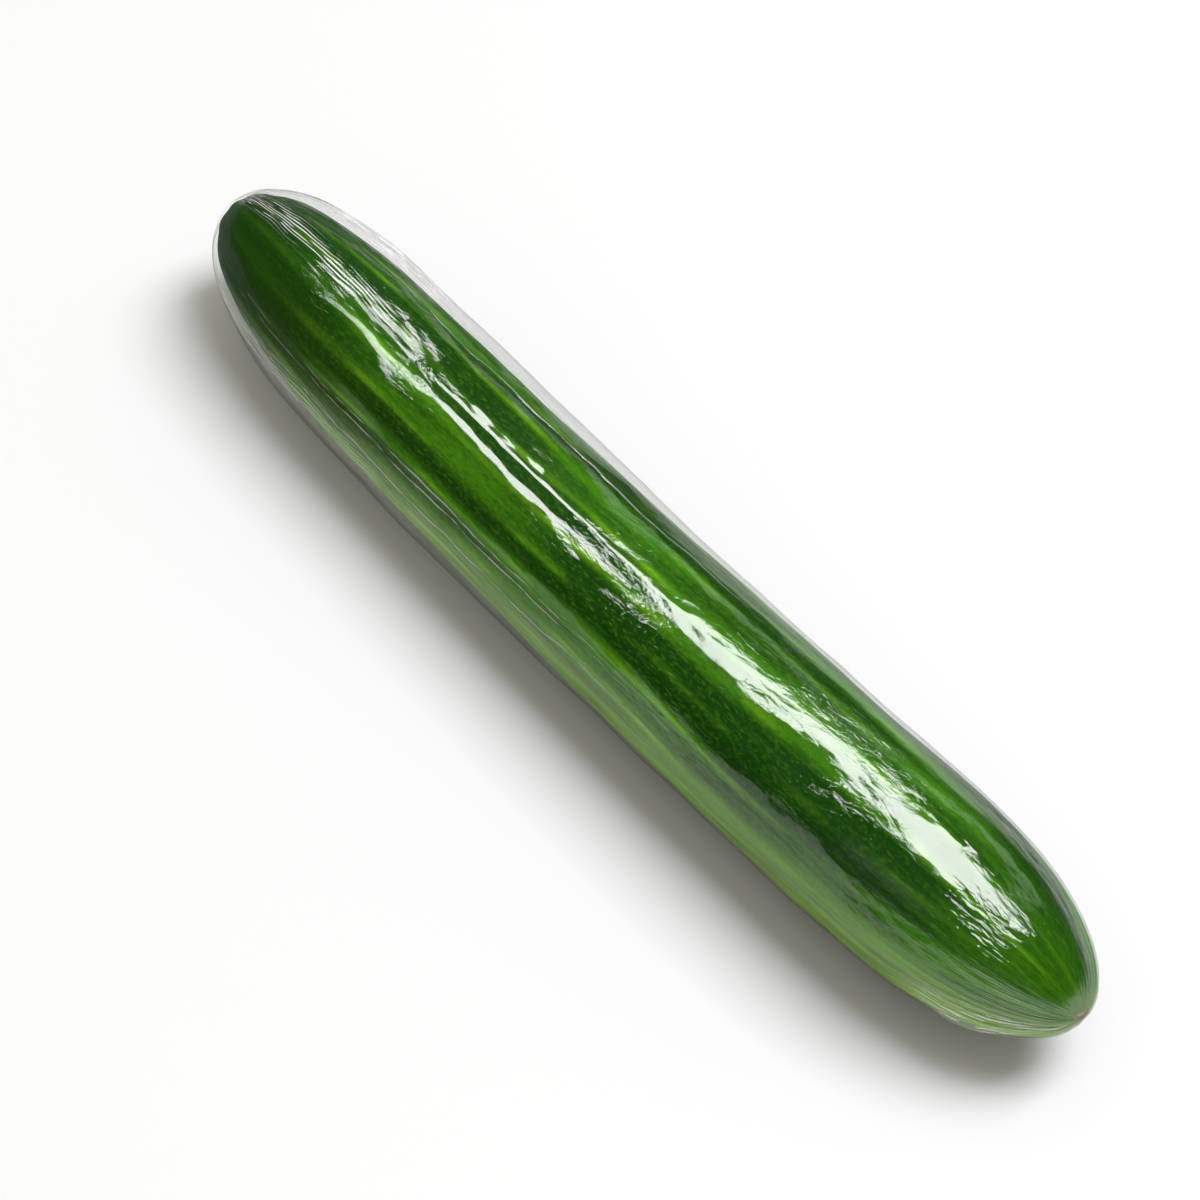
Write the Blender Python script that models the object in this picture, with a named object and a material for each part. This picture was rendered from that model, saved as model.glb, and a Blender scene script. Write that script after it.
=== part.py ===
"""A long salad cucumber in a tight sleeve of clear film, lying on a flat surface.

Metres, +Z up. The cucumber lies along X with its stem end at -X and its blossom end at +X.
The origin is under the middle of the whole thing's box, on the surface that it rests on.
Angles round the cucumber are counted from +Y, and 90 degrees is straight up.
"""

import math

import bpy
import numpy as np

# The fruit, as measured on the picked cucumber
FRUIT_LENGTH = 0.3285
BLOSSOM_RADIUS = 0.0230   # thick part, towards the blossom end
NECK_RADIUS = 0.0212      # slimmer stem half
NECK_MIDDLE = 0.22        # where the slim part lies, as a share of the length
NECK_SPREAD = 0.30
BOW = 0.0036              # how far the middle bows towards -Y
BOW_LEAN = 0.10           # the bow is a little deeper in the blossom half
STEM_CAP = 0.205          # length of the rounded stem end, as a share of the length
STEM_ROUNDNESS = 2.45
BLOSSOM_CAP = 0.172
BLOSSOM_ROUNDNESS = 2.10

# Relief that runs the length of the fruit
LOBES = 3
LOBE_HEIGHT = 0.00035
RIBS = 10
RIB_HEIGHT = 0.00030
RIB_TWIST = math.radians(9)
LOBE_PHASE = math.radians(25)
RIB_PHASE = math.radians(10)
STEM_FADE = 0.12          # share of the length over which relief and slack die away at the stem end
BLOSSOM_FADE = 0.10
FADE_ROUNDNESS = 2.0

# The cut stalk in its hollow, and the dry blossom scar
STALK_RADIUS = 0.0038
STALK_FLARE = 0.0007
STALK_CUT = 0.0008        # how far the cut face lies inside the very end of the fruit
STALK_BEVEL = 0.0004
STALK_FACE_SHARE = 0.5    # radius of the smooth middle of the cut face, as a share of the stalk
STALK_FOOT = 0.0016       # depth at which the stalk starts to flare
STALK_FOOT_FLARE = 0.25   # how much of the flare there is at that depth
STALK_RIDGES = 5
STALK_RIDGE_HEIGHT = 0.00035
HOLLOW_DEPTH = 0.0070
HOLLOW_RADIUS = 0.0045
SCAR_RADIUS = 0.0032
SCAR_DEPTH = 0.0007
SCAR_STEPS = ((0.3, 0.75), (1.0, 0.45))   # shares of its depth and of its radius

# The film sleeve
FILM_WALL = 0.0006
FILM_CLEARANCE = 0.0003
STEM_HOLE_RADIUS = 0.0062
BLOSSOM_HOLE_RADIUS = 0.0030
FLANK_ANGLE = math.radians(27)   # the slack stands off on this flank and the one opposite
FLANK_SLACK = 0.0021
FLANK_SLACK_MIDDLE = 0.27
FLANK_SLACK_SPREAD = 0.24
FLANK_SHARPNESS = 4               # power of the cosine, so that the slack keeps to the flanks
BLOSSOM_SLACK = 0.0004
BLOSSOM_SLACK_MIDDLE = 0.75
BLOSSOM_SLACK_SPREAD = 0.15
PLEAT_HEIGHT = 0.00035
PLEAT_REACH = 0.085       # how far the pleats run from each end, as a share of the length
SEAM_ANGLE = math.radians(97.5)
SEAM_HEIGHT = 0.00025

# How it rests: on a flat spot in the middle of its belly, from which the line of the belly rises
PRESS = 0.0006
BELLY_RISE = 0.0015       # how much higher the line of the belly is at both ends

# Mesh
AROUND = 48
FRUIT_RINGS = 38
FILM_RINGS = 36
SEARCH_REACH = 0.1        # the holes, the stalk and the scar lie within this share of the length
SEARCH_STEPS = 4001
SHARP_EDGE = math.radians(50)

FRUIT_COLOUR = (0.035, 0.130, 0.012, 1.0)
FRUIT_ROUGHNESS = 0.30
FILM_COLOUR = (0.90, 0.95, 0.93, 0.25)
FILM_ROUGHNESS = 0.08


def bell(t, middle, spread):
    """A smooth hump of height 1 at the middle."""
    return np.exp(-(((t - middle) / spread) ** 2))


def cap(t, reach, roundness):
    """Rises from 0 at t = 0 to 1 at t = reach, as the rounded end of the fruit does."""
    return np.sqrt(1 - np.clip(1 - t / reach, 0, 1) ** roundness)


def trunk_radius(t):
    """Radius of the fruit at a share t of its length, without its rounded ends."""
    return BLOSSOM_RADIUS - (BLOSSOM_RADIUS - NECK_RADIUS) * bell(t, NECK_MIDDLE, NECK_SPREAD)


def fruit_radius(t):
    """Radius of the fruit, rounded ends included and relief left out."""
    return trunk_radius(t) * cap(t, STEM_CAP, STEM_ROUNDNESS) * cap(1 - t, BLOSSOM_CAP, BLOSSOM_ROUNDNESS)


def share_at_radius(radius, from_blossom=False):
    """The share of the length where an end has grown to this radius."""
    t = np.linspace(0, SEARCH_REACH, SEARCH_STEPS)
    grown = fruit_radius(1 - t) if from_blossom else fruit_radius(t)
    found = float(np.interp(radius, grown, t))
    return 1 - found if from_blossom else found


def axis_point(t, x):
    """Centre of the fruit's cross-section: bowed towards -Y, and as high as its belly is deep."""
    u = 2 * t - 1
    y = -BOW * (1 - u**2) * (1 + BOW_LEAN * u)
    z = trunk_radius(t) + crest_height() + FILM_CLEARANCE + FILM_WALL - PRESS + BELLY_RISE * u**2
    return x, y, z


def crest_height():
    """How far the highest ribs stand over the plain radius."""
    return LOBE_HEIGHT + RIB_HEIGHT


def end_fade(t):
    """Is 1 along the trunk and dies away to 0 at both ends."""
    return cap(t, STEM_FADE, FADE_ROUNDNESS) * cap(1 - t, BLOSSOM_FADE, FADE_ROUNDNESS)


def relief(t, angle):
    """Height of the lobes and ribs, which die away at both ends."""
    lobes = LOBE_HEIGHT * np.cos(LOBES * angle + LOBE_PHASE)
    ribs = RIB_HEIGHT * np.cos(RIBS * (angle + RIB_TWIST * t) + RIB_PHASE)
    return end_fade(t) * (lobes + ribs)


def end_spaced(first, last, count):
    """Shares of the length, set closer together towards both ends."""
    turn = np.linspace(0, math.pi, count)
    return first + (last - first) * (0.5 - 0.5 * np.cos(turn))


def around():
    return np.arange(AROUND) * (2 * math.pi / AROUND)


def ring(t, x, radius, angles, floor):
    """One closed ring of points round the axis, pressed flat where it would reach below the floor."""
    cx, cy, cz = axis_point(t, x)
    points = np.empty((len(angles), 3))
    points[:, 0] = cx
    points[:, 1] = cy + radius * np.cos(angles)
    points[:, 2] = np.maximum(cz + radius * np.sin(angles), floor)
    return points


def skin_rings():
    """Rings of the fruit's skin, from the hollow round the stalk to the edge of the blossom scar."""
    angles = around()
    floor = FILM_WALL + FILM_CLEARANCE
    first = share_at_radius(STALK_RADIUS + STALK_FLARE)
    last = share_at_radius(SCAR_RADIUS, from_blossom=True)
    rings = []
    for t in end_spaced(first, last, FRUIT_RINGS):
        plain = float(fruit_radius(t))
        hollow = HOLLOW_DEPTH * math.exp(-((plain / HOLLOW_RADIUS) ** 2)) * (t < 0.5)
        x = (t - 0.5) * FRUIT_LENGTH + hollow
        rings.append(ring(t, x, plain + relief(t, angles), angles, floor))
    return rings


def stalk_rings():
    """Rings of the cut stalk, from its face down into the hollow."""
    angles = around()
    end = -0.5 * FRUIT_LENGTH + STALK_CUT
    ridges = STALK_RIDGE_HEIGHT * np.cos(STALK_RIDGES * angles)
    steps = (
        (0.0, STALK_RADIUS * STALK_FACE_SHARE, 0.0),
        (0.0, STALK_RADIUS - STALK_BEVEL, 1.0),
        (STALK_BEVEL, STALK_RADIUS, 1.0),
        (STALK_FOOT, STALK_RADIUS + STALK_FOOT_FLARE * STALK_FLARE, 1.0),
    )
    return [ring(0.0, end + depth, radius + share * ridges, angles, 0.0) for depth, radius, share in steps]


def scar_rings():
    """Rings that step down into the blossom scar."""
    angles = around()
    end = 0.5 * FRUIT_LENGTH
    radii = SCAR_RADIUS * np.ones(AROUND)
    return [ring(1.0, end - deep * SCAR_DEPTH, wide * radii, angles, 0.0) for deep, wide in SCAR_STEPS]


def film_slack(t, angle):
    """How far the film stands off the fruit on its two flanks."""
    along = (
        FLANK_SLACK * bell(t, FLANK_SLACK_MIDDLE, FLANK_SLACK_SPREAD)
        + BLOSSOM_SLACK * bell(t, BLOSSOM_SLACK_MIDDLE, BLOSSOM_SLACK_SPREAD)
    )
    return along * end_fade(t) * np.abs(np.cos(angle - FLANK_ANGLE)) ** FLANK_SHARPNESS


def film_pleats(t):
    """Pleats where the film is gathered at an end: every other line of points stands proud."""
    near_end = np.exp(-((min(t, 1 - t) / PLEAT_REACH) ** 2))
    return PLEAT_HEIGHT * near_end * (np.arange(AROUND) % 2)


def film_seam(t, angle):
    """The welded seam, a low ridge one line of points wide."""
    off = np.abs(np.angle(np.exp(1j * (angle - SEAM_ANGLE))))
    return SEAM_HEIGHT * (off < math.pi / AROUND) * math.sin(math.pi * t)


def film_rings():
    """Rings of the film's outer face, from the hole round the stalk to the hole at the blossom end."""
    angles = around()
    first = share_at_radius(STEM_HOLE_RADIUS)
    last = share_at_radius(BLOSSOM_HOLE_RADIUS, from_blossom=True)
    shares = end_spaced(first, last, FILM_RINGS)
    plain = fruit_radius(shares)
    x = (shares - 0.5) * FRUIT_LENGTH
    slope = np.gradient(plain, x)
    outward_x, outward_r = -slope / np.hypot(slope, 1), 1 / np.hypot(slope, 1)
    rings = []
    for i, t in enumerate(shares):
        stand_off = crest_height() + FILM_CLEARANCE + FILM_WALL
        extra = film_slack(t, angles) + film_pleats(t) + film_seam(t, angles)
        radius = plain[i] + outward_r[i] * (stand_off + extra)
        rings.append(ring(t, x[i] + outward_x[i] * stand_off, radius, angles, 0.0))
    return rings


def tube_mesh(name, rings, closed_ends):
    """A mesh through the rings, in order from -X to +X, with each end closed by a fan if asked for."""
    points = np.concatenate(rings)
    count = len(rings)
    faces = []
    for i in range(count - 1):
        for j in range(AROUND):
            k = (j + 1) % AROUND
            faces.append((i * AROUND + j, i * AROUND + k, (i + 1) * AROUND + k, (i + 1) * AROUND + j))
    if closed_ends:
        points = np.vstack([points, rings[0].mean(0), rings[-1].mean(0)])
        start, end = len(points) - 2, len(points) - 1
        last = (count - 1) * AROUND
        for j in range(AROUND):
            k = (j + 1) % AROUND
            faces.append((start, k, j))
            faces.append((end, last + j, last + k))
    mesh = bpy.data.meshes.new(name)
    mesh.from_pydata(points.tolist(), [], faces)
    mesh.update()
    return mesh


def principled(name, colour, roughness, alpha=1.0):
    material = bpy.data.materials.new(name)
    material.use_nodes = True
    shader = material.node_tree.nodes["Principled BSDF"]
    shader.inputs["Base Color"].default_value = colour
    shader.inputs["Roughness"].default_value = roughness
    shader.inputs["Metallic"].default_value = 0.0
    shader.inputs["Alpha"].default_value = alpha
    material.diffuse_color = colour
    return material


def add_object(name, mesh, material, parent):
    made = bpy.data.objects.new(name, mesh)
    bpy.context.scene.collection.objects.link(made)
    mesh.materials.append(material)
    mesh.shade_smooth()
    made.parent = parent
    return made


def fruit(parent):
    """The cucumber: stalk, skin and blossom scar grew as one piece and are one solid."""
    rings = stalk_rings() + skin_rings() + scar_rings()
    mesh = tube_mesh("cucumber", rings, closed_ends=True)
    mesh.set_sharp_from_angle(angle=SHARP_EDGE)
    return add_object("cucumber", mesh, principled("cucumber_skin", FRUIT_COLOUR, FRUIT_ROUGHNESS), parent)


def film_sleeve(parent):
    """The clear film: an open sleeve, gathered to a small hole at each end, thickened inwards."""
    mesh = tube_mesh("film_wrap", film_rings(), closed_ends=False)
    material = principled("clear_film", FILM_COLOUR, FILM_ROUGHNESS, alpha=FILM_COLOUR[3])
    made = add_object("film_wrap", mesh, material, parent)
    wall = made.modifiers.new("wall", "SOLIDIFY")
    wall.thickness = FILM_WALL
    wall.offset = -1.0
    wall.use_even_offset = True
    wall.use_rim = True
    return made


def centre_on_origin(parent, objects):
    """Moves the whole thing so that the origin lies under the middle of its box."""
    points = np.concatenate([[v.co[:] for v in made.data.vertices] for made in objects])
    low, high = points.min(0), points.max(0)
    parent.location = (-(low[0] + high[0]) / 2, -(low[1] + high[1]) / 2, -low[2])


def main():
    for old in list(bpy.data.objects):
        bpy.data.objects.remove(old)
    place = bpy.data.objects.new("wrapped_cucumber", None)
    bpy.context.scene.collection.objects.link(place)
    pieces = [fruit(place), film_sleeve(place)]
    centre_on_origin(place, pieces)
    bpy.context.view_layer.update()


main()
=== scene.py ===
import math

import bpy
import numpy as np
from mathutils import Matrix, Vector


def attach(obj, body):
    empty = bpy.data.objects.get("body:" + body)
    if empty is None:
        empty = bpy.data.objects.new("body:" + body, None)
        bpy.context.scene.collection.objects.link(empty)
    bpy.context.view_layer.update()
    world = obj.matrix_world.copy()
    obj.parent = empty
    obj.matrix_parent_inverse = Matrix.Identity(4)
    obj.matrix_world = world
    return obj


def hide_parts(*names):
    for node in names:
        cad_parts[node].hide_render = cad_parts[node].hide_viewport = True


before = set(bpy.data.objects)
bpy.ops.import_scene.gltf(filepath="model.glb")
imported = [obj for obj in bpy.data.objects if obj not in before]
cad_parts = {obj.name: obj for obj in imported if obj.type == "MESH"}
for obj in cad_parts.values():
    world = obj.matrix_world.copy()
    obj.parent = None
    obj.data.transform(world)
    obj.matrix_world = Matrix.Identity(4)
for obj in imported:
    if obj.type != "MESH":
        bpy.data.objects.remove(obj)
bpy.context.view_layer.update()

print("frame loaded")

# The cucumber. Lengths in metres, angles in degrees counted from +Y, 90 is straight up, and places
# along it are shares of its length from the stem end to the blossom end. A spot on the surface is
# (angle, half width, place along, half length, strength), and the waves of a pattern are
# (count, turns round it, lengths along it)
cucumber = dict(
    length=0.3297,
    blossomRadius=0.0230,
    neckRadius=0.0212,
    neckMiddle=0.22,
    neckSpread=0.30,
    bow=0.0036,
    bowLean=0.10,
    axisHeight=0.0003,    # of the axis over its radius, ribs included
    tipRise=0.0015,       # how far the axis rises towards both ends
    lowest=0.0007,        # the belly is pressed flat at this height
    stemCap=0.205,
    stemRoundness=2.70,
    blossomCap=0.172,
    blossomRoundness=2.00,
    lobes=3,
    lobeHeight=0.00035,
    lobePhase=25,
    ribs=10,
    ribHeight=0.00030,
    ribTwist=9,
    ribPhase=10,
    reliefFade=(0.12, 0.10),    # how far from the ends the relief is full
    fullness=0.0007,      # the skin fills the film to within a hair
    slimness=0.0016,      # but stands back from it on both sides of the stem end
    slimMiddle=0.095,
    slimSpread=0.085,
    lumpHeight=0.00010,   # gentle unevenness of the skin
    lumpWaves=(40, (2, 9), (0.03, 0.09)),
    grainHeight=0.000018,
    grainWaves=(60, (14, 50), (0.006, 0.02)),
    stalkRadius=0.0038,
    stalkFlare=0.0007,
    stalkCut=0.0008,
    stalkRidges=5,
    stalkRidgeHeight=0.00035,
    hollowDepth=0.0070,
    hollowRadius=0.0045,
    scarRadius=0.0024,
    scarDepth=0.0004,
    rows=18,              # pale rows in the skin
    rowAngle=131,
    rowSharpness=4,
    rowWander=0.45,
    rowWanderWaves=(14, (1, 5), (0.06, 0.30)),
    rowMean=0.5,          # they start and stop
    rowSpread=0.60,
    rowBreakWaves=(34, (4, 16), (0.022, 0.16)),
    rowStrength=1.35,
    rowMost=1.5,
    rowsWhereDark=0.30,   # and show less where the skin is dark
    rowsWithTone=1.2,
    rowsMostWithTone=1.15,
    toneMean=0.40,
    toneSpread=0.26,
    toneWaves=(24, (2, 8), (0.08, 0.4)),
    toneRows=0.19,
    toneRowsEnd=0.96,
    toneRowsFade=0.16,
    patchStrength=0.5,    # long darker and paler patches; the one at 62 degrees near the blossom end is painted shade on the upper flank
    patchesWithPaintedShade=((133, 12, 0.52, 0.20, -1.1), (135, 8, 0.30, 0.10, -0.6), (118, 9, 0.50, 0.12, -0.8),
             (120, 12, 0.12, 0.08, -0.8), (128, 9, 0.72, 0.10, -0.7), (116, 8, 0.86, 0.07, -0.7),
             (66, 8, 0.70, 0.10, -0.6), (84, 7, 0.30, 0.10, -0.5), (125, 7, 0.36, 0.10, 1.1),
             (78, 9, 0.50, 0.16, 0.6), (100, 12, 0.12, 0.09, 0.4), (150, 8, 0.60, 0.25, 0.3),
             # the first patch on this line, at 62 degrees, is painted shade
             (62, 20, 0.91, 0.09, -1.2), (146, 14, 0.92, 0.06, 0.6), (76, 14, 0.29, 0.13, -1.3),
             (136, 9, 0.13, 0.10, -1.1), (145, 7, 0.28, 0.12, 0.8), (133, 8, 0.55, 0.20, -0.5)),
    olive=((152, 36, 0, 0.24, 1.0),),    # browner at the stem end
    oliveRing=0.5,
    oliveRingReach=0.07,
    rings=300,
    pointsAround=236,
    seed=5,
)

# The film sleeve
film = dict(
    wall=0.00008,
    air=0.00012,            # least air between skin and film
    leastAir=0.5,           # and the share of it that is left where a ripple dips
    follow=0.55,            # how much of the ribs shows through the stretched film
    stemHole=0.0052,
    blossomHole=0.0004,
    flankAngle=27,
    flankSlack=0.0024,
    flankLean=0.12,         # more slack on the upper flank than on the lower
    flankMiddle=0.28,
    flankSpread=0.24,
    blossomSlack=0.0004,
    blossomSlackMiddle=0.75,
    blossomSlackSpread=0.15,
    waveFade=(0.10, 0.10),  # how far from the ends tents, waves and ripples are full
    seamAngle=99,
    seamHeight=0.00014,
    seamWidth=0.0010,
    seamPoints=16,          # more points at the seam, to this many widths on each side
    seamReach=2.0,
    strands=26,             # long shallow tents of film between the ribs
    strandAngle=94.2,
    strandHeight=0.00002,
    strandLeast=0.15,
    strandMiddle=0.32,
    strandSpread=0.25,
    swayWaves=(12, (1, 4), (0.08, 0.3)),
    sway=0.35,
    waveHeight=0.00005,     # where it clings and lets go
    waves=(50, (3, 15), (0.025, 0.09)),
    loose=((140, 30, 0.80, 0.14, 0.7),),    # waved more here
    looseWaves=(50, (6, 22), (0.010, 0.028)),
    rippleHeight=0.000042,
    ripples=(110, (14, 56), (0.006, 0.034)),
    crinkleMean=0.6,        # the ripples come in patches
    crinkleSpread=0.6,
    crinkleLeast=0.15,
    crinkleMost=2,
    crinkleWaves=(16, (2, 8), (0.03, 0.12)),
    calm=0.66,              # and are calmer here
    calmMiddle=0.34,
    calmSpread=0.25,
    pleatHeight=0.00016,
    pleatWaves=(30, (30, 60), (0.08, 0.4)),
    # bundles of pleats at the stem end and at the blossom end
    bundles=((92, 9, 0, 0.135, 1.2), (178, 9, 0, 0.30, 0.55), (40, 16, 0, 0.30, 0.45),
             (262, 20, 0, 0.08, 0.7), (318, 14, 0, 0.08, 0.6),
             (150, 16, 1, 0.07, 0.35), (188, 14, 1, 0.08, 1.0), (256, 26, 1, 0.08, 0.8),
             (318, 24, 1, 0.08, 0.7), (50, 10, 1, 0.10, 0.4)),
    holePleats=0.35,
    holePleatsReach=0.008,
    holeFade=(0.02, 0.03),
    bottomFold=((197, 9, 0.945, 0.034, 0.0024),),    # its strength is its height
    # where the film clings to the skin and mirrors less: two flat-topped patches and a spot
    stemCling=0.235,
    stemClingAngle=115,
    stemClingSpread=60,
    stemClingPleats=0.6,
    pleatsFull=1.3,
    flankCling=(155, 10, 0.30, 0.25, 0.9),
    bellyCling=((206, 15, 0.86, 0.12, 0.8),),
    # where it is milky, where it has short ripples and where its long folds show
    haze=((42, 20, 0.14, 0.11, 2.2), (64, 22, 0.055, 0.035, 0.6), (197, 7, 0.95, 0.035, 1.0),
          (136, 10, 0.85, 0.07, 0.35)),
    shortRipples=((115, 26, 0.932, 0.030, 1.0), (100, 18, 0.17, 0.03, 0.15)),
    foldMiddle=0.36,
    foldSpread=0.22,
    rings=228,
    pointsAround=184,
    seed=11,
    swaySeed=339,
    waveSeed=521,
    looseSeed=61,
)

pi = math.pi


def bell(t, middle, spread):  # exp(-((t - middle) / spread)^2)
    return np.exp(-(((t - middle) / spread) ** 2))


def flatBell(t, middle, spread):  # the same with a flat top: exp(-((t - middle) / spread)^4)
    return np.exp(-(((t - middle) / spread) ** 4))


# From 0 at t = 0 to 1 at t = reach: sqrt(1 - (1 - t / reach)^roundness)
def capRise(t, reach, roundness=2.0):
    return np.sqrt(1 - np.clip(1 - t / reach, 0, 1) ** roundness)


def endFade(t, reach):  # rises from 0 at both ends
    return capRise(t, reach[0]) * capRise(1 - t, reach[1])


def offAngle(angle, middle):  # degrees from the middle angle, -180 to 180
    return np.degrees(np.angle(np.exp(1j * (angle - math.radians(middle)))))


# Sum of spots, each a bell of its angle times a bell of its place along
def spots(t, angle, places):
    total = 0 * (t + angle)
    for middle, spread, place, reach, strength in places:
        total = total + strength * bell(offAngle(angle, middle), 0, spread) * bell(t, place, reach)
    return total


def trunkRadius(t):
    c = cucumber
    waist = c["blossomRadius"] - c["neckRadius"]
    return c["blossomRadius"] - waist * bell(t, c["neckMiddle"], c["neckSpread"])


# Radius of the plain form: the trunk times a rounded cap at each end
def plainRadius(t):
    c = cucumber
    stem = capRise(t, c["stemCap"], c["stemRoundness"])
    return trunkRadius(t) * stem * capRise(1 - t, c["blossomCap"], c["blossomRoundness"])


# Place along at which the plain form has this radius, near one end
def shareAtRadius(radius, fromBlossom=False):
    t = np.linspace(0, 0.1, 4001)
    found = float(np.interp(radius, plainRadius(1 - t) if fromBlossom else plainRadius(t), t))
    return 1 - found if fromBlossom else found


crest = cucumber["lobeHeight"] + cucumber["ribHeight"]


# Height of the lobes and ribs: two cosines round the fruit that die away at both ends
def relief(t, angle):
    c = cucumber
    lobes = c["lobeHeight"] * np.cos(c["lobes"] * angle + math.radians(c["lobePhase"]))
    twisted = angle + math.radians(c["ribTwist"]) * t
    ribs = c["ribHeight"] * np.cos(c["ribs"] * twisted + math.radians(c["ribPhase"]))
    return endFade(t, c["reliefFade"]) * (lobes + ribs)


# Points of closed rings. The axis bows towards -Y and rises a little at both ends; a ring is
# radius * (cos, sin) of the angle round it, pressed flat where it would go below the lowest height
def ringPoints(t, x, radius, angle, lowest=0.0):
    c = cucumber
    u = 2 * t - 1
    y = -c["bow"] * (1 - u**2) * (1 + c["bowLean"] * u)
    z = trunkRadius(t) + crest + c["axisHeight"] + c["tipRise"] * u**2
    points = np.empty(radius.shape + (3,))
    points[..., 0] = x
    points[..., 1] = y + radius * np.cos(angle)
    points[..., 2] = np.maximum(z + radius * np.sin(angle), lowest)
    return points


# A seeded sum of waves over the surface: cos(n * angle + k * t + phase), n whole so that it closes
# round the fruit. It comes out with a mean of 0 and a spread of 1
def waveField(t, angle, seed, count, turns, lengths):
    pick = np.random.default_rng(seed)
    total = np.zeros(np.broadcast(t, angle).shape)
    for n, wavelength, phase, side in zip(
        pick.integers(turns[0], turns[1] + 1, count),
        pick.uniform(lengths[0], lengths[1], count),
        pick.uniform(0, 2 * pi, count),
        pick.choice([-1, 1], count),
    ):
        k = side * 2 * pi * cucumber["length"] / wavelength
        total += np.cos(n * angle + k * t + phase)
    return total / math.sqrt(count / 2)


# Shares of the length, closer together at both ends: a blend of even steps and half a cosine
def endSpaced(first, last, count, closeness=0.75):
    even = np.linspace(0, 1, count)
    return first + (last - first) * ((1 - closeness) * even + closeness * (0.5 - 0.5 * np.cos(pi * even)))


# A tube through a (rows, columns, 3) grid of points whose columns close on themselves, with each
# end closed by a fan if asked for, and each value of the grid kept as an attribute
def tubeMesh(name, points, values, closeEnds):
    rows, columns = points.shape[:2]
    i, j = np.meshgrid(np.arange(rows - 1), np.arange(columns), indexing="ij")
    k = (j + 1) % columns
    quads = np.stack([i * columns + j, i * columns + k, (i + 1) * columns + k, (i + 1) * columns + j], -1)
    faces = quads.reshape(-1, 4).tolist()
    flat = points.reshape(-1, 3)
    values = {key: np.broadcast_to(value, (rows, columns) + value.shape[2:]) for key, value in values.items()}
    flatValues = {key: value.reshape((-1,) + value.shape[2:]) for key, value in values.items()}
    if closeEnds:
        start, end, last = len(flat), len(flat) + 1, (rows - 1) * columns
        flat = np.vstack([flat, points[0].mean(0), points[-1].mean(0)])
        for key, value in values.items():
            middles = value[0].mean(0)[None], value[-1].mean(0)[None]
            flatValues[key] = np.concatenate([flatValues[key], *middles])
        here = np.arange(columns)
        after = (here + 1) % columns
        faces += np.stack([np.full(columns, start), after, here], -1).tolist()
        faces += np.stack([np.full(columns, end), last + here, last + after], -1).tolist()
    mesh = bpy.data.meshes.new(name)
    mesh.from_pydata(flat.tolist(), [], faces)
    for key, value in flatValues.items():
        wide = value.ndim == 2
        made = mesh.attributes.new(key, "FLOAT_VECTOR" if wide else "FLOAT", "POINT")
        made.data.foreach_set("vector" if wide else "value", np.ascontiguousarray(value, np.float32).ravel())
    mesh.update()
    mesh.shade_smooth()
    return mesh


# Where a point is on the skin, for patterns that close round the fruit and run together at its tips:
# cosine and sine of its angle, and its place along the fruit in radii
def skinPlace(t, angle):
    along = t * cucumber["length"] / cucumber["blossomRadius"]
    return np.stack(np.broadcast_arrays(np.cos(angle), np.sin(angle), along), -1)


# How far the skin stands back on both sides of the stem end
def standBack(t, angle):
    c = cucumber
    side = np.cos(angle - math.radians(film["flankAngle"]))
    return c["slimness"] * bell(t, c["slimMiddle"], c["slimSpread"]) * side**2


# Height of the skin over the plain form: its fullness, ribs, lumps and grain
def skinLift(t, angle):
    c = cucumber
    lumps = c["lumpHeight"] * waveField(t, angle, c["seed"], *c["lumpWaves"])
    grain = c["grainHeight"] * waveField(t, angle, c["seed"] + 1, *c["grainWaves"])
    uneven = endFade(t, c["reliefFade"]) * (lumps + grain)
    return c["fullness"] - standBack(t, angle) + relief(t, angle) + uneven


# Direction square to the plain form, as (along, outwards)
def formNormal(t):
    slope = np.gradient(plainRadius(t), t * cucumber["length"])
    return (-slope / np.hypot(slope, 1))[:, None], (1 / np.hypot(slope, 1))[:, None]


# The rows of the skin, a cosine round the fruit that wanders: 1 on a row and -1 between two
def rowWave(t, angle):
    c = cucumber
    wander = c["rowWander"] * waveField(t, angle, c["seed"] + 3, *c["rowWanderWaves"])
    return np.cos(c["rows"] * (angle - math.radians(c["rowAngle"])) + wander)


# How strongly the pale rows show: they are narrow, and start and stop
def rowTone(t, angle):
    c = cucumber
    row = np.clip(rowWave(t, angle), 0, 1) ** c["rowSharpness"]
    strength = c["rowMean"] + c["rowSpread"] * waveField(t, angle, c["seed"] + 4, *c["rowBreakWaves"])
    return row * np.clip(c["rowStrength"] * strength, 0, c["rowMost"])


# How pale the skin is: low waves, the rows and the patches, one of them painted shade
def skinTone(t, angle):
    c = cucumber
    tone = c["toneMean"] + c["toneSpread"] * waveField(t, angle, c["seed"] + 6, *c["toneWaves"])
    fade = np.clip((c["toneRowsEnd"] - t) / c["toneRowsFade"], 0, 1)
    tone = tone + c["toneRows"] * rowWave(t, angle) * fade
    return np.clip(tone + c["patchStrength"] * spots(t, angle, c["patchesWithPaintedShade"]), 0, 1)


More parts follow.
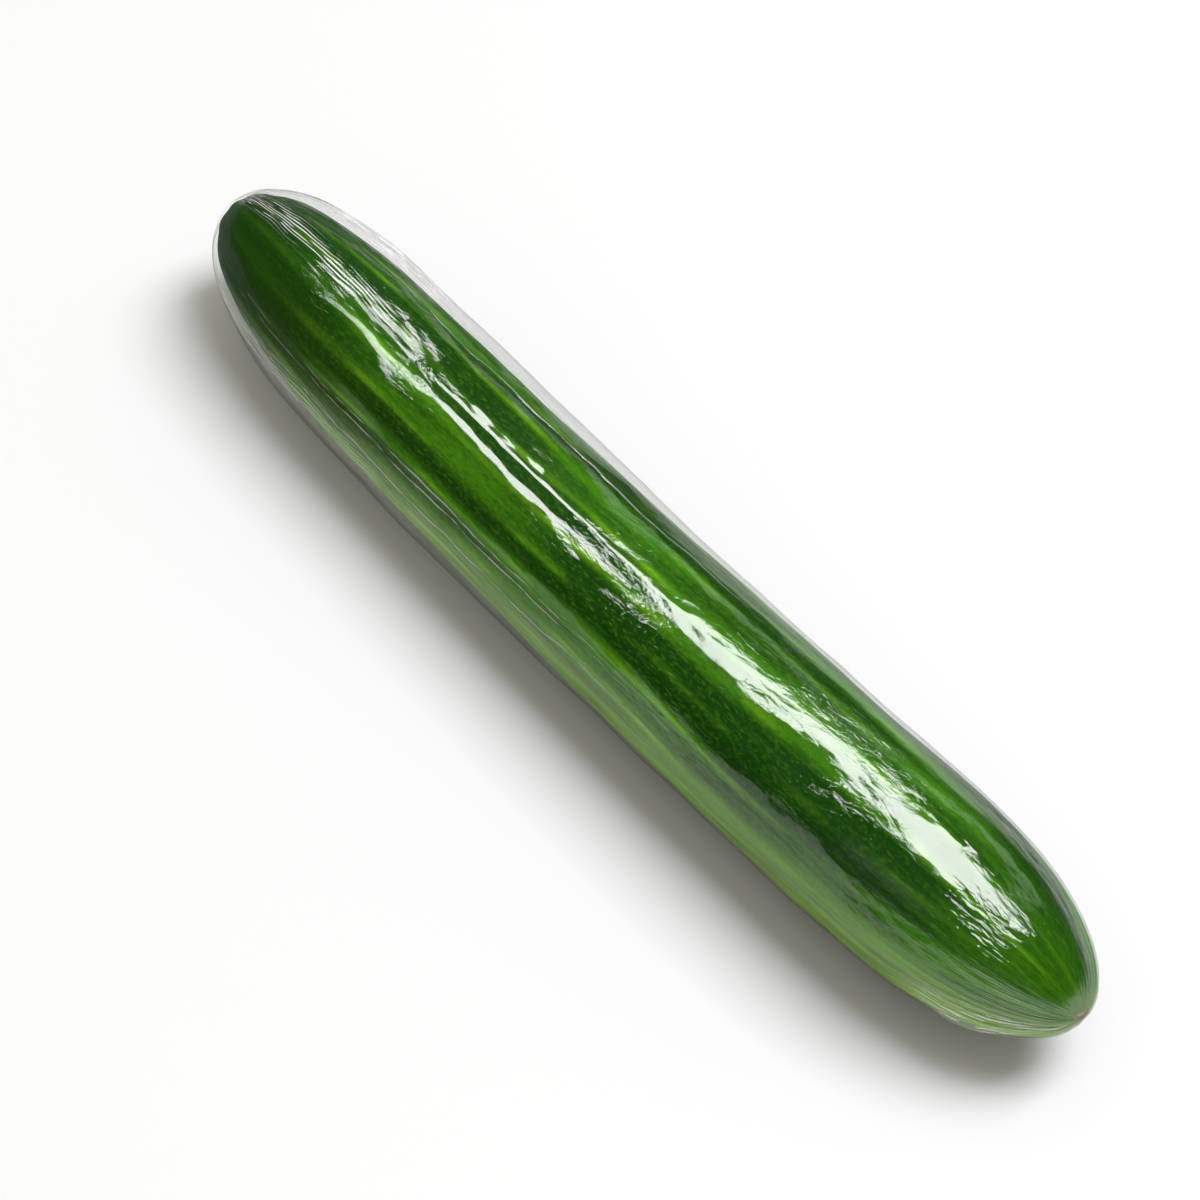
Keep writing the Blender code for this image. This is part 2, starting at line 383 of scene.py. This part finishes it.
# The fruit: stalk rings, skin rings and scar rings in one tube
def fruitGrid():
    c = cucumber
    angle = (np.arange(c["pointsAround"]) * 2 * pi / c["pointsAround"])[None, :]
    # the skin, sinking round the stalk as a bell of its radius
    first = shareAtRadius(c["stalkRadius"] + c["stalkFlare"])
    t = endSpaced(first, shareAtRadius(c["scarRadius"], True), c["rings"])
    outX, outR = formNormal(t)
    t = t[:, None]
    plain = plainRadius(t)
    hollow = c["hollowDepth"] * bell(plain, 0, c["hollowRadius"]) * (t < 0.5)
    lift = skinLift(t, angle)
    x = (t - 0.5) * c["length"] + hollow
    skin = ringPoints(t, x + outX * lift, plain + outR * lift, angle, c["lowest"])
    # the cut stalk: a ridged, bevelled stub, from its middle outwards
    depth = np.array([0, 0, 0, 0, 0.00012, 0.0004, 0.0009, 0.0016])[:, None]
    share = np.array([0.25, 0.5, 0.75, 0.90, 0.97, 1.0, 1.01, 1.05])[:, None]
    ridged = np.array([0, 0.2, 0.5, 0.8, 0.95, 1, 1, 1])[:, None]
    ridges = c["stalkRidgeHeight"] * np.cos(c["stalkRidges"] * angle)
    zero = np.zeros_like(share)
    cut = -0.5 * c["length"] + c["stalkCut"] - c["fullness"]
    stalk = ringPoints(zero, cut + depth, share * c["stalkRadius"] + ridged * ridges, angle)
    # the scar: two shallow steps, from its rim inwards
    scarShare = np.array([0.9, 0.75, 0.6, 0.45, 0.2])[:, None]
    scarDepth = np.array([0.1, 0.3, 0.75, 1.0, 1.0])[:, None] * c["scarDepth"]
    one = np.ones_like(scarShare)
    end = 0.5 * c["length"] + c["fullness"]
    scar = ringPoints(one, end - scarDepth, scarShare * c["scarRadius"] * np.ones_like(angle), angle)
    along = np.concatenate([zero, t, one])
    tone = skinTone(along, angle)
    dark = c["rowsWhereDark"]
    values = dict(
        along=along,
        stalk=np.concatenate([zero + 1, 0 * t, 0 * one]),
        scar=np.concatenate([zero, 0 * t, one]),
        rows=rowTone(along, angle) * np.clip(dark + c["rowsWithTone"] * tone, dark, c["rowsMostWithTone"]),
        tone=tone,
        olive=spots(along, angle, c["olive"]) + c["oliveRing"] * bell(along, 0, c["oliveRingReach"]),
        place=skinPlace(along, angle),
    )
    return np.concatenate([stalk, skin, scar]), values


# Where the film is gathered: bundles of pleats round each end, and all round both holes
def gatherPatch(t, angle):
    f = film
    holes = bell(t, 0, f["holePleatsReach"]) + bell(t, 1, f["holePleatsReach"])
    return (spots(t, angle, f["bundles"]) + f["holePleats"] * holes) * endFade(t, f["holeFade"])


# The film over the skin: it follows part of the ribs, stands off at the flanks, and has tents,
# waves, ripples, a fold under the blossom end, pleats at both ends and one seam, but it never goes
# under the skin
def filmGrid():
    c, f = cucumber, film
    seam = math.radians(f["seamAngle"])
    even = np.arange(f["pointsAround"]) * 2 * pi / f["pointsAround"]
    reach = f["seamReach"] * f["seamWidth"] / c["neckRadius"]
    close = seam + np.linspace(-1, 1, f["seamPoints"]) * reach
    angle = np.sort(np.concatenate([even, close]))[None, :]
    t = endSpaced(shareAtRadius(f["stemHole"]), shareAtRadius(f["blossomHole"], True), f["rings"])
    outX, outR = formNormal(t)
    t = t[:, None]
    plain = plainRadius(t)
    ends = endFade(t, f["waveFade"])
    skin = skinLift(t, angle)
    taut = skin + standBack(t, angle) + (1 - f["follow"]) * (crest * ends - relief(t, angle))
    flank = f["flankSlack"] * bell(t, f["flankMiddle"], f["flankSpread"])
    flank = flank + f["blossomSlack"] * bell(t, f["blossomSlackMiddle"], f["blossomSlackSpread"])
    side = np.cos(angle - math.radians(f["flankAngle"]))
    slack = flank * ends * side**2 * (1 + f["flankLean"] * np.sign(side))
    sway = f["sway"] * waveField(t, angle, f["swaySeed"], *f["swayWaves"])
    strand = f["strandLeast"] + (1 - f["strandLeast"]) * bell(t, f["strandMiddle"], f["strandSpread"])
    tents = f["strandHeight"] * strand
    tents = tents * (1 + np.cos(f["strands"] * (angle - math.radians(f["strandAngle"])) + sway))
    waves = waveField(t, angle, f["waveSeed"], *f["waves"])
    waves = waves + spots(t, angle, f["loose"]) * waveField(t, angle, f["looseSeed"], *f["looseWaves"])
    waves = f["waveHeight"] * waves + spots(t, angle, f["bottomFold"])
    crinkled = f["crinkleMean"] + f["crinkleSpread"] * waveField(t, angle, f["seed"] + 6, *f["crinkleWaves"])
    crinkled = np.clip(crinkled, f["crinkleLeast"], f["crinkleMost"])
    crinkled = crinkled * (1 - f["calm"] * flatBell(t, f["calmMiddle"], f["calmSpread"]))
    ripples = f["rippleHeight"] * crinkled * waveField(t, angle, f["seed"] + 1, *f["ripples"])
    gathered = gatherPatch(t, angle)
    pleats = f["pleatHeight"] * gathered * waveField(t, angle, f["seed"] + 2, *f["pleatWaves"])
    fromSeam = np.radians(offAngle(angle, f["seamAngle"])) * c["neckRadius"]
    seamRidge = f["seamHeight"] * bell(fromSeam, 0, f["seamWidth"]) * np.sin(pi * t)
    lift = taut + f["air"] + slack + ends * (tents + waves + ripples) + pleats + seamRidge
    lift = np.maximum(lift, skin + f["air"] * f["leastAir"]) + f["wall"]
    x = (t - 0.5) * c["length"]
    points = ringPoints(t, x + outX * lift, plain + outR * lift, angle)
    clinging = flatBell(offAngle(angle, f["stemClingAngle"]), 0, f["stemClingSpread"])
    clinging = clinging * flatBell(t, 0, f["stemCling"])
    clinging = clinging * (1 - f["stemClingPleats"] * np.clip(f["pleatsFull"] * gathered, 0, 1))
    middle, spread, place, reach, strength = f["flankCling"]
    clinging = clinging + strength * bell(offAngle(angle, middle), 0, spread) * flatBell(t, place, reach)
    values = dict(
        along=t + 0 * angle,
        gathered=gathered,
        clinging=clinging + spots(t, angle, f["bellyCling"]),
        haze=spots(t, angle, f["haze"]),
        folded=bell(t, f["foldMiddle"], f["foldSpread"]) + 0 * angle,
        crinkled=crinkled * ends,
        shortRipples=spots(t, angle, f["shortRipples"]),
        place=skinPlace(t, angle),
    )
    return points, values


fruitPoints, fruitValues = fruitGrid()
filmPoints, filmValues = filmGrid()
both = np.concatenate([fruitPoints.reshape(-1, 3), filmPoints.reshape(-1, 3)])
boxMiddle = (both.min(0) + both.max(0)) / 2
toRow = np.array([-boxMiddle[0], -boxMiddle[1], -both[:, 2].min()])


def addPiece(name, mesh, material):
    mesh.materials.append(material)
    piece = bpy.data.objects.new(name, mesh)
    bpy.context.scene.collection.objects.link(piece)
    return piece


def newMaterial(name):
    material = bpy.data.materials.new(name)
    material.use_nodes = True
    nodes, links = material.node_tree.nodes, material.node_tree.links
    return material, nodes, links, nodes["Principled BSDF"], nodes["Material Output"]


def attribute(nodes, name, output="Fac"):
    node = nodes.new("ShaderNodeAttribute")
    node.attribute_name = name
    return node.outputs[output]


def mathNode(nodes, links, operation, first, second=None, clamp=False):
    node = nodes.new("ShaderNodeMath")
    node.operation = operation
    node.use_clamp = clamp
    for socket, value in zip(node.inputs, (first, second)):
        if value is None:
            continue
        if isinstance(value, (int, float)):
            socket.default_value = value
        else:
            links.new(value, socket)
    return node.outputs[0]


def mapRange(nodes, links, value, low, high, toLow=0.0, toHigh=1.0, smooth=True):
    node = nodes.new("ShaderNodeMapRange")
    node.interpolation_type = "SMOOTHSTEP" if smooth else "LINEAR"
    links.new(value, node.inputs["Value"])
    for socket, number in zip(("From Min", "From Max", "To Min", "To Max"), (low, high, toLow, toHigh)):
        node.inputs[socket].default_value = number
    return node.outputs["Result"]


# A value times the mapped range of another
def timesRange(nodes, links, value, by, numbers, clamp=False):
    return mathNode(nodes, links, "MULTIPLY", value, mapRange(nodes, links, by, *numbers), clamp)


def mixColour(nodes, links, share, first, second):
    node = nodes.new("ShaderNodeMix")
    node.data_type = "RGBA"
    for socket, value in ((node.inputs[0], share), (node.inputs[6], first), (node.inputs[7], second)):
        if isinstance(value, (int, float, tuple)):
            socket.default_value = value
        else:
            links.new(value, socket)
    return node.outputs[2]


def mixShaders(nodes, links, share, first, second):
    mix = nodes.new("ShaderNodeMixShader")
    if isinstance(share, float):
        mix.inputs[0].default_value = share
    else:
        links.new(share, mix.inputs[0])
    links.new(first.outputs[0], mix.inputs[1])
    links.new(second.outputs[0], mix.inputs[2])
    return mix.outputs[0]


def bumpNode(nodes, links, height, distance):
    bump = nodes.new("ShaderNodeBump")
    bump.inputs["Strength"].default_value = 1.0
    bump.inputs["Distance"].default_value = distance
    links.new(height, bump.inputs["Height"])
    return bump.outputs[0]


# Noise stretched along the fruit, read from the place on the skin
def placeNoise(nodes, links, place, aroundScale, alongScale, detail, roughness, distortion, shift):
    mapping = nodes.new("ShaderNodeMapping")
    mapping.inputs["Scale"].default_value = (aroundScale, aroundScale, alongScale)
    mapping.inputs["Location"].default_value = (shift, shift, shift)
    links.new(place, mapping.inputs["Vector"])
    noise = nodes.new("ShaderNodeTexNoise")
    noise.inputs["Scale"].default_value = 1.0
    noise.inputs["Detail"].default_value = detail
    noise.inputs["Roughness"].default_value = roughness
    noise.inputs["Distortion"].default_value = distortion
    links.new(mapping.outputs[0], noise.inputs["Vector"])
    return noise.outputs["Fac"]


# The angle round the fruit in degrees, from -180 to 180, swayed by a slow noise
def angleNodes(nodes, links, place, sway, shift):
    separate = nodes.new("ShaderNodeSeparateXYZ")
    links.new(place, separate.inputs[0])
    angle = mathNode(nodes, links, "ARCTAN2", separate.outputs["Y"], separate.outputs["X"])
    slow = placeNoise(nodes, links, place, *filmLook["swayNoise"], shift)
    slow = mathNode(nodes, links, "SUBTRACT", slow, 0.5)
    degrees = mathNode(nodes, links, "MULTIPLY", angle, 180 / pi)
    return mathNode(nodes, links, "ADD", degrees, mathNode(nodes, links, "MULTIPLY", slow, sway))


# Pleats that run together at the tips: a whole number of them round the film, sharp at their bottoms
def pleatNodes(nodes, links, place):
    look = filmLook
    angle = angleNodes(nodes, links, place, *look["pleatSway"])
    turned = mathNode(nodes, links, "MULTIPLY", angle, look["pleats"] * pi / 360)
    return mathNode(nodes, links, "ABSOLUTE", mathNode(nodes, links, "SINE", turned))


# A few single folds, each near one angle
def foldNodes(nodes, links, place):
    look = filmLook
    angle = angleNodes(nodes, links, place, *look["foldSway"])
    total = None
    for fold in look["folds"]:
        off = mathNode(nodes, links, "ABSOLUTE", mathNode(nodes, links, "SUBTRACT", angle, fold))
        line = mapRange(nodes, links, off, 0.0, look["foldWidth"], 1.0, 0.0)
        total = line if total is None else mathNode(nodes, links, "MAXIMUM", total, line)
    return total


# Colours, then noises as (scale round, scale along, detail, roughness, distortion, shift), then ranges as
# (from, to, value there, value there)
skinLook = dict(
    dark=(0.0070, 0.055, 0.0015, 1),
    green=(0.056, 0.225, 0.0032, 1),
    streak=(0.190, 0.480, 0.0080, 1),
    stemOlive=(0.026, 0.042, 0.0018, 1),
    paleTip=(0.16, 0.31, 0.05, 1),
    # pale underside colour, part the skin's own and part painted bounce light from the floor
    belly=(0.30, 0.56, 0.050, 1),
    stalk=(0.24, 0.29, 0.09, 1),
    cork=(0.12, 0.14, 0.04, 1),
    scar=(0.26, 0.27, 0.10, 1),
    bounced=(0.06, 0.072, 0.05, 1),       # what it throws on the floor, nearly neutral
    roughness=0.42,
    shine=0.03,
    grain=0.00025,
    fibres=(13, 0.9, 4, 0.6, 0.2, 7.3),
    breaks=(6, 1.5, 3, 0.6, 0.3, 2.3),
    specks=(34, 11, 4, 0.75, 0.3, 3.1),
    greenByTone=(0.45, 1.35),
    rowsByBreaks=(0.30, 0.62, 0.35, 1.0),
    rowsByFibres=(0.30, 0.65, 0.65, 1.0),
    rowsAlong=(0.50, 0.85, 0.95, 0.35),   # fainter towards the blossom end
    paleSpecks=(0.48, 0.72),
    paleSpecksAlong=(0.60, 0.90, 0.30, 0.20),
    darkSpecks=(0.34, 0.48, 0.40, 0.0),
    bellyByHeight=(0.50, -0.45, 0.0, 0.80),
    bellyByFibres=(0.3, 0.7, 0.45, 1.0),
    bellyAlong=(0.80, 0.92, 1.0, 1.25),
    oliveByFibres=(0.3, 0.7, 1.0, 0.7),
    stemDark=(0.05, 0.25, 0.76, 0.0),
    tipPale=(0.988, 0.9995, 0.0, 0.5),
    corkBySpecks=(0.40, 0.62),
)


def skinMaterial():
    look = skinLook
    material, nodes, links, shader, output = newMaterial("cucumberSkinLook")
    place = attribute(nodes, "place", "Vector")
    along = attribute(nodes, "along")
    fibres = placeNoise(nodes, links, place, *look["fibres"])
    breaks = placeNoise(nodes, links, place, *look["breaks"])
    specks = placeNoise(nodes, links, place, *look["specks"])
    tone = mathNode(nodes, links, "ADD", attribute(nodes, "tone"), fibres)
    green = mapRange(nodes, links, tone, *look["greenByTone"])
    colour = mixColour(nodes, links, green, look["dark"], look["green"])
    # pale rows, broken up
    rows = attribute(nodes, "rows")
    for by, numbers in ((breaks, "rowsByBreaks"), (fibres, "rowsByFibres"), (along, "rowsAlong")):
        rows = timesRange(nodes, links, rows, by, look[numbers])
    colour = mixColour(nodes, links, rows, colour, look["streak"])
    # pale and dark specks
    pale = mapRange(nodes, links, specks, *look["paleSpecks"])
    pale = timesRange(nodes, links, pale, along, look["paleSpecksAlong"])
    colour = mixColour(nodes, links, pale, colour, look["streak"])
    dark = mapRange(nodes, links, specks, *look["darkSpecks"])
    colour = mixColour(nodes, links, dark, colour, look["dark"])
    # the pale belly: partly the skin's own paler underside, partly painted bounce light from the floor,
    # lighter towards the bottom and the blossom end
    separate = nodes.new("ShaderNodeSeparateXYZ")
    links.new(place, separate.inputs[0])
    under = mapRange(nodes, links, separate.outputs["Y"], *look["bellyByHeight"])
    under = timesRange(nodes, links, under, fibres, look["bellyByFibres"])
    under = timesRange(nodes, links, under, along, look["bellyAlong"])
    colour = mixColour(nodes, links, under, colour, look["belly"])
    # the stem end is browner and darker, the blossom end paler
    olive = timesRange(nodes, links, attribute(nodes, "olive"), fibres, look["oliveByFibres"], True)
    colour = mixColour(nodes, links, olive, colour, look["stemOlive"])
    colour = mixColour(nodes, links, mapRange(nodes, links, along, *look["stemDark"]), colour, look["dark"])
    colour = mixColour(nodes, links, mapRange(nodes, links, along, *look["tipPale"]), colour, look["paleTip"])
    # the cut stalk and the scar
    cork = mapRange(nodes, links, specks, *look["corkBySpecks"])
    cork = mixColour(nodes, links, cork, look["stalk"], look["cork"])
    colour = mixColour(nodes, links, attribute(nodes, "stalk"), colour, cork)
    colour = mixColour(nodes, links, attribute(nodes, "scar"), colour, look["scar"])
    # what soft light picks up from it
    path = nodes.new("ShaderNodeLightPath")
    colour = mixColour(nodes, links, path.outputs["Is Diffuse Ray"], colour, look["bounced"])
    links.new(colour, shader.inputs["Base Color"])
    shader.inputs["Roughness"].default_value = look["roughness"]
    shader.inputs["Specular IOR Level"].default_value = look["shine"]
    links.new(bumpNode(nodes, links, specks, look["grain"]), shader.inputs["Normal"])
    return material


filmLook = dict(
    roughness=0.06,
    milkRoughness=0.4,
    tint=(0.99, 0.995, 0.985, 1),
    share=0.065,            # mirrored at every angle by the two faces together
    ior=1.34,               # and how it grows towards the edge
    clinging=0.85,          # how much less it mirrors where it clings
    insideShare=0.012,
    # noises as (scale round, scale along, detail, roughness, distortion, shift), and how high they are
    ripples=(15, 4.5, 2, 0.5, 0.8, 0.0),
    rippleBump=0.00015,
    fineRipples=(40, 16, 1, 0.5, 0.5, 6.1),
    fineRippleBump=0.00006,
    shortRipples=(24, 8, 1, 0.5, 0.6, 5.2),
    shortRippleBump=0.00038,
    breaks=(18, 2.2, 2, 0.6, 0.4, 3.7),
    milk=0.8,               # how far the folds hide what is behind them
    milkByBreaks=(0.38, 0.54),
    hazeByBreaks=(0.35, 0.65, 0.08, 0.45),
    pleats=148,
    pleatBump=0.00011,
    pleatsMilky=1.6,
    pleatLines=(0.1, 0.95, 1.0, 0.0),
    folds=(152, 156, 168, 66, 50),
    foldWidth=1.1,
    foldBump=0.00012,
    foldsMilky=0.6,
    swayNoise=(1.6, 0.9, 2.0, 0.5, 0.0),
    pleatSway=(14.0, 8.3),  # degrees, shift
    foldSway=(9.0, 2.9),
)


# The film passes what is behind it and mirrors what is before it by Fresnel, on both of its faces
def filmMaterial():
    look = filmLook
    material, nodes, links, shader, output = newMaterial("clearFilmLook")
    place = attribute(nodes, "place", "Vector")
    gathered = attribute(nodes, "gathered")
    crinkled = attribute(nodes, "crinkled")
    folded = attribute(nodes, "folded")
    shortRipples = attribute(nodes, "shortRipples")
    pleats = pleatNodes(nodes, links, place)
    folds = foldNodes(nodes, links, place)
    height = None
    for pattern, patch, size in (
        (placeNoise(nodes, links, place, *look["ripples"]), crinkled, "rippleBump"),
        (placeNoise(nodes, links, place, *look["fineRipples"]), crinkled, "fineRippleBump"),
        (placeNoise(nodes, links, place, *look["shortRipples"]), shortRipples, "shortRippleBump"),
        (pleats, gathered, "pleatBump"),
        (folds, folded, "foldBump"),
    ):
        part = mathNode(nodes, links, "MULTIPLY", pattern, look[size])
        part = mathNode(nodes, links, "MULTIPLY", part, patch)
        height = part if height is None else mathNode(nodes, links, "ADD", height, part)
    # folded film is milky: thin broken lines at the bottoms of the pleats and on the folds
    breaks = placeNoise(nodes, links, place, *look["breaks"])
    full = mathNode(nodes, links, "MULTIPLY", gathered, look["pleatsMilky"], True)
    lines = timesRange(nodes, links, full, pleats, look["pleatLines"])
    foldLines = mathNode(nodes, links, "MULTIPLY", folds, folded)
    foldLines = mathNode(nodes, links, "MULTIPLY", foldLines, look["foldsMilky"])
    lines = mathNode(nodes, links, "MAXIMUM", lines, foldLines)
    milk = timesRange(nodes, links, lines, breaks, look["milkByBreaks"], True)
    haze = timesRange(nodes, links, attribute(nodes, "haze"), breaks, look["hazeByBreaks"])
    milk = mathNode(nodes, links, "MAXIMUM", milk, haze)
    normal = bumpNode(nodes, links, height, 1.0)
    geometry = nodes.new("ShaderNodeNewGeometry")
    ior = mapRange(nodes, links, geometry.outputs["Backfacing"], 0, 1, look["ior"], 1 / look["ior"], False)
    fresnel = nodes.new("ShaderNodeFresnel")
    links.new(ior, fresnel.inputs["IOR"])
    links.new(normal, fresnel.inputs["Normal"])
    share = mathNode(nodes, links, "ADD", fresnel.outputs[0], look["share"], True)
    less = mathNode(nodes, links, "MULTIPLY", attribute(nodes, "clinging"), look["clinging"])
    share = mathNode(nodes, links, "MULTIPLY", share, mathNode(nodes, links, "SUBTRACT", 1.0, less))
    share = mathNode(nodes, links, "ADD", share, mathNode(nodes, links, "MULTIPLY", milk, look["milk"]), True)
    links.new(mathNode(nodes, links, "SUBTRACT", 1.0, milk), shader.inputs["Metallic"])
    rough = mapRange(nodes, links, milk, 0, 1, look["roughness"], look["milkRoughness"], False)
    links.new(rough, shader.inputs["Roughness"])
    shader.inputs["Base Color"].default_value = (1, 1, 1, 1)
    links.new(normal, shader.inputs["Normal"])
    clear = nodes.new("ShaderNodeBsdfTransparent")
    clear.inputs["Color"].default_value = look["tint"]
    links.new(mixShaders(nodes, links, share, clear, shader), output.inputs["Surface"])
    return material


# The inner face of the film: its share of the mirroring is counted on the outer face
def filmInsideMaterial():
    look = filmLook
    material, nodes, links, shader, output = newMaterial("clearFilmInsideLook")
    shader.inputs["Base Color"].default_value = (1, 1, 1, 1)
    shader.inputs["Metallic"].default_value = 1.0
    shader.inputs["Roughness"].default_value = look["roughness"]
    clear = nodes.new("ShaderNodeBsdfTransparent")
    links.new(mixShaders(nodes, links, look["insideShare"], clear, shader), output.inputs["Surface"])
    return material


fruitMesh = tubeMesh("cucumberSkin", fruitPoints + toRow, fruitValues, True)
fruit = addPiece("cucumberSkin", fruitMesh, skinMaterial())
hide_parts("cucumber")
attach(fruit, "root")
print("cucumber made,", len(fruitMesh.vertices), "points")

filmMesh = tubeMesh("filmSleeve", filmPoints + toRow, filmValues, False)
sleeve = addPiece("filmSleeve", filmMesh, filmMaterial())
filmMesh.materials.append(filmInsideMaterial())
wall = sleeve.modifiers.new("wall", "SOLIDIFY")
wall.thickness = film["wall"]
wall.offset = -1.0
wall.use_rim = True
wall.material_offset = 1
sleeve.visible_diffuse = False   # the thin film hardly changes the soft light on the skin
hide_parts("film_wrap")
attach(sleeve, "root")
print("film made,", len(filmMesh.vertices), "points")

# Floor, lights and camera
studio = dict(
    floorColour=(0.86, 0.86, 0.855, 1),
    floorRoughness=0.75,
    floorShine=0.2,
    floorHalf=6,
    floorHeight=-0.0003,
    floorMirrored=0.55,               # how bright the floor is where the film mirrors it
    fill=0.42,
    fillColour=(1.0, 0.995, 0.87, 1),
    dark=0.006,                       # the room where the film mirrors it
    keyDirection=(0.27, 0.36, 1.0),   # casts the soft shadow
    keyDistance=3.0,
    keySize=(1.3, 1.9),
    keyPower=80.0,
    keyColour=(1.0, 1.0, 1.07),
    aimHeight=0.03,                   # of the point that the lights face
    mirrorHeight=1.1,                 # the long panel that the film mirrors
    # two strips that join towards the blossom end: angle, from, to and width of their parts
    mirrorParts=((77, -0.90, -0.645, 0.36), (108, -0.90, -0.645, 0.24), (79.6, -0.645, -0.52, 0.83),
                 (75.0, -0.52, -0.42, 0.83), (79.0, -0.42, -0.15, 1.0), (83.6, -0.15, 0.46, 0.94)),
    mirrorShine=7.5,
    sidePart=(38, -2.2, 0.2, 0.16),   # a dim panel that catches on the upper flank
    sideHeight=1.2,
    sideShine=0.6,
    cameraAzimuth=51.45,
    cameraElevation=50,
    cameraDistance=1.25,
    cameraTarget=(0.0006, 0, 0.0238),
    cameraShift=(-0.00776, -0.00209),    # right, up
    lens=152.2,
    sensor=36,
)


def makeFloor():
    st = studio
    half, height = st["floorHalf"], st["floorHeight"]
    corners = [(-half, -half, height), (half, -half, height), (half, half, height), (-half, half, height)]
    mesh = bpy.data.meshes.new("paleFloor")
    mesh.from_pydata(corners, [], [(0, 1, 2, 3)])
    material, nodes, links, shader, output = newMaterial("paleFloorLook")
    shader.inputs["Base Color"].default_value = st["floorColour"]
    shader.inputs["Roughness"].default_value = st["floorRoughness"]
    shader.inputs["Specular IOR Level"].default_value = st["floorShine"]
    path = nodes.new("ShaderNodeLightPath")
    share = mapRange(nodes, links, path.outputs["Is Glossy Ray"], 0, 1, 1.0, st["floorMirrored"], False)
    black = nodes.new("ShaderNodeBsdfDiffuse")
    black.inputs["Color"].default_value = (0, 0, 0, 1)
    links.new(mixShaders(nodes, links, share, black, shader), output.inputs["Surface"])
    addPiece("paleFloor", mesh, material)


# The room: a soft even fill for the floor and the skin, and a dark room where the film mirrors it
def makeRoom():
    world = bpy.data.worlds.new("softRoom")
    world.use_nodes = True
    nodes, links = world.node_tree.nodes, world.node_tree.links
    fill = nodes["Background"]
    fill.inputs["Color"].default_value = studio["fillColour"]
    fill.inputs["Strength"].default_value = studio["fill"]
    dark = nodes.new("ShaderNodeBackground")
    dark.inputs["Color"].default_value = (1, 1, 1, 1)
    dark.inputs["Strength"].default_value = studio["dark"]
    path = nodes.new("ShaderNodeLightPath")
    mixed = mixShaders(nodes, links, path.outputs["Is Glossy Ray"], fill, dark)
    links.new(mixed, nodes["World Output"].inputs["Surface"])
    bpy.context.scene.world = world


def turned(x, y, z, place):
    return Matrix.Translation(place) @ Matrix([x, y, z]).transposed().to_4x4()


def makeLight(name, place, target, size, power, colour=(1, 1, 1)):
    data = bpy.data.lights.new(name, "AREA")
    data.shape = "RECTANGLE"
    data.size, data.size_y = size
    data.energy = power
    data.color = colour
    light = bpy.data.objects.new(name, data)
    bpy.context.scene.collection.objects.link(light)
    back = (Vector(place) - Vector(target)).normalized()
    side = Vector((1, 0, 0)) - back * back.x
    side.normalize()
    light.matrix_world = turned(side, back.cross(side), back, place)
    return light


def makeCamera():
    st = studio
    azimuth, elevation = math.radians(st["cameraAzimuth"]), math.radians(st["cameraElevation"])
    flat = math.cos(elevation)
    back = Vector((math.sin(azimuth) * flat, -math.cos(azimuth) * flat, math.sin(elevation)))
    right = Vector((math.cos(azimuth), math.sin(azimuth), 0))
    up = back.cross(right)
    target = Vector(st["cameraTarget"]) + Vector(toRow)
    target = target + right * st["cameraShift"][0] + up * st["cameraShift"][1]
    data = bpy.data.cameras.new("photoCamera")
    data.lens, data.sensor_width = st["lens"], st["sensor"]
    data.clip_start, data.clip_end = 0.05, 60
    camera = bpy.data.objects.new("photoCamera", data)
    bpy.context.scene.collection.objects.link(camera)
    camera.matrix_world = turned(right, up, back, target + back * st["cameraDistance"])
    bpy.context.scene.camera = camera


def makeLights():
    st = studio
    aim = st["aimHeight"]
    place = Vector(st["keyDirection"]).normalized() * st["keyDistance"]
    key = makeLight("keyPanel", place, (0, 0, aim), st["keySize"], st["keyPower"], st["keyColour"])
    key.visible_glossy = False
    parts = [("mirrorPanel", part, st["mirrorHeight"], st["mirrorShine"]) for part in st["mirrorParts"]]
    parts.append(("sidePanel", st["sidePart"], st["sideHeight"], st["sideShine"]))
    for name, (angle, start, stop, width), height, shine in parts:
        x, up, long = (start + stop) / 2, math.radians(angle), stop - start
        place = (x, height * math.cos(up), height * math.sin(up))
        panel = makeLight(name, place, (x, 0, aim), (long, width), shine * pi * long * width)
        panel.visible_diffuse = False


makeFloor()
makeRoom()
makeLights()
makeCamera()
bpy.context.scene.view_settings.view_transform = "Standard"
print("floor, room, light and camera made")
